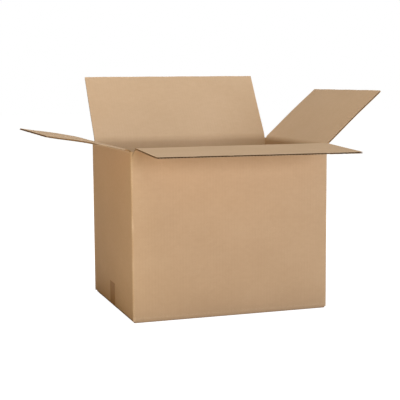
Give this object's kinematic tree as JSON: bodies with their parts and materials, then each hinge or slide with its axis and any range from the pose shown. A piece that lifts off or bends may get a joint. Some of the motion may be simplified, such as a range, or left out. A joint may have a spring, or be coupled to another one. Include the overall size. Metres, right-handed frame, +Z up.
{
  "type": "open cardboard box",
  "caption": "Empty shipping carton of brown corrugated board, standing open with its top flaps folded outwards and its base taped shut.",
  "frame": {"origin": "centre of the base, on the floor", "axes": "+X along the long walls to the right, +Y to the back, +Z up"},
  "size_m": [0.8576, 0.72, 0.5883],
  "materials": {
    "kraft_board": "matte brown kraft paper",
    "packing_tape": "smooth brown film"
  },
  "bodies": {
    "box": {"box_body": "kraft_board", "bottom_tape": "packing_tape"},
    "front_flap": {"front_flap": "kraft_board"},
    "back_flap": {"back_flap": "kraft_board"},
    "left_flap": {"left_flap": "kraft_board"},
    "right_flap": {"right_flap": "kraft_board"}
  },
  "joints": [
    {"name": "front_crease", "type": "hinge", "parent": "box", "child": "front_flap", "pos_m": [0, -0.204, 0.4167], "axis": [1, 0, 0], "range_deg": [-182, 83]},
    {"name": "back_crease", "type": "hinge", "parent": "box", "child": "back_flap", "pos_m": [0, 0.204, 0.4167], "axis": [-1, 0, 0], "range_deg": [-123, 142]},
    {"name": "left_crease", "type": "hinge", "parent": "box", "child": "left_flap", "pos_m": [-0.254, 0, 0.4124], "axis": [0, -1, 0], "range_deg": [-169, 96]},
    {"name": "right_crease", "type": "hinge", "parent": "box", "child": "right_flap", "pos_m": [0.254, 0, 0.4124], "axis": [0, 1, 0], "range_deg": [-138.5, 126.5]}
  ]
}
